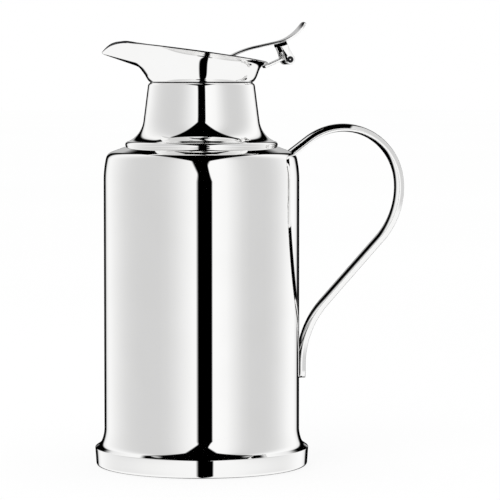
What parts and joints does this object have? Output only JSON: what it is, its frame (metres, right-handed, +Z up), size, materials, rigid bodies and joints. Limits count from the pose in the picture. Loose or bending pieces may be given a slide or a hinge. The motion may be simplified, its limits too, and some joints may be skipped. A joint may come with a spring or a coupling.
{
  "type": "insulated jug",
  "caption": "Polished cylindrical vacuum jug with a flared foot, beak spout, strap handle, hinged lever lid and screw-in base.",
  "frame": {"origin": "on the jug's axis, in the plane it stands on", "axes": "+Z up, spout along -X, handle along +X, hinge pin along Y"},
  "size_m": [0.1848, 0.1258, 0.2607],
  "materials": {
    "silver": "mirror-polished silver plate",
    "steel": "turned steel",
    "liner_glass": "silvered vacuum glass",
    "rubber": "matt black rubber",
    "plastic_black": "moulded black plastic",
    "plastic_white": "moulded white plastic",
    "foam": "closed-cell foam"
  },
  "bodies": {
    "jug": {"body_shell": "silver", "foot_ring": "silver", "shoulder_bead": "silver", "neck_shell": "silver", "spout_collar": "silver", "handle_strap": "silver", "handle_moulding": "silver", "hinge_bracket": "silver", "throat_sleeve": "plastic_white", "mouth_seal": "rubber", "centering_ring": "foam", "inner_flask": "liner_glass", "outer_flask": "liner_glass", "flask_spacers": "steel", "tip_cup": "plastic_white", "flask_cushion": "rubber", "thread_ring": "silver"},
    "lid": {"hinge_pin": "steel", "hinge_yoke": "silver", "lid_lever": "silver", "lid_cover": "silver", "lid_insert": "plastic_black", "lid_core": "foam", "lid_seal": "rubber", "lid_screw": "steel"},
    "cap_slide": {"slip_washer": "plastic_white"},
    "base_cap": {"base_cap": "plastic_black"}
  },
  "joints": [
    {"name": "lid_hinge", "type": "hinge", "parent": "jug", "child": "lid", "pos_m": [0.0513, 0, 0.2386], "axis": [0, 1, 0], "range_deg": [0, 75]},
    {"name": "cap_travel", "type": "slide", "parent": "jug", "child": "cap_slide", "axis": [0, 0, 1], "range_m": [-0.0095, 0]},
    {"name": "cap_turn", "type": "hinge", "parent": "cap_slide", "child": "base_cap", "pos_m": [0, 0, 0], "axis": [0, 0, 1], "range_deg": [-1080, 0]}
  ],
  "couplings": [
    {"joint": "cap_travel", "follows": "cap_turn", "m_per_rad": 0.00047746}
  ]
}
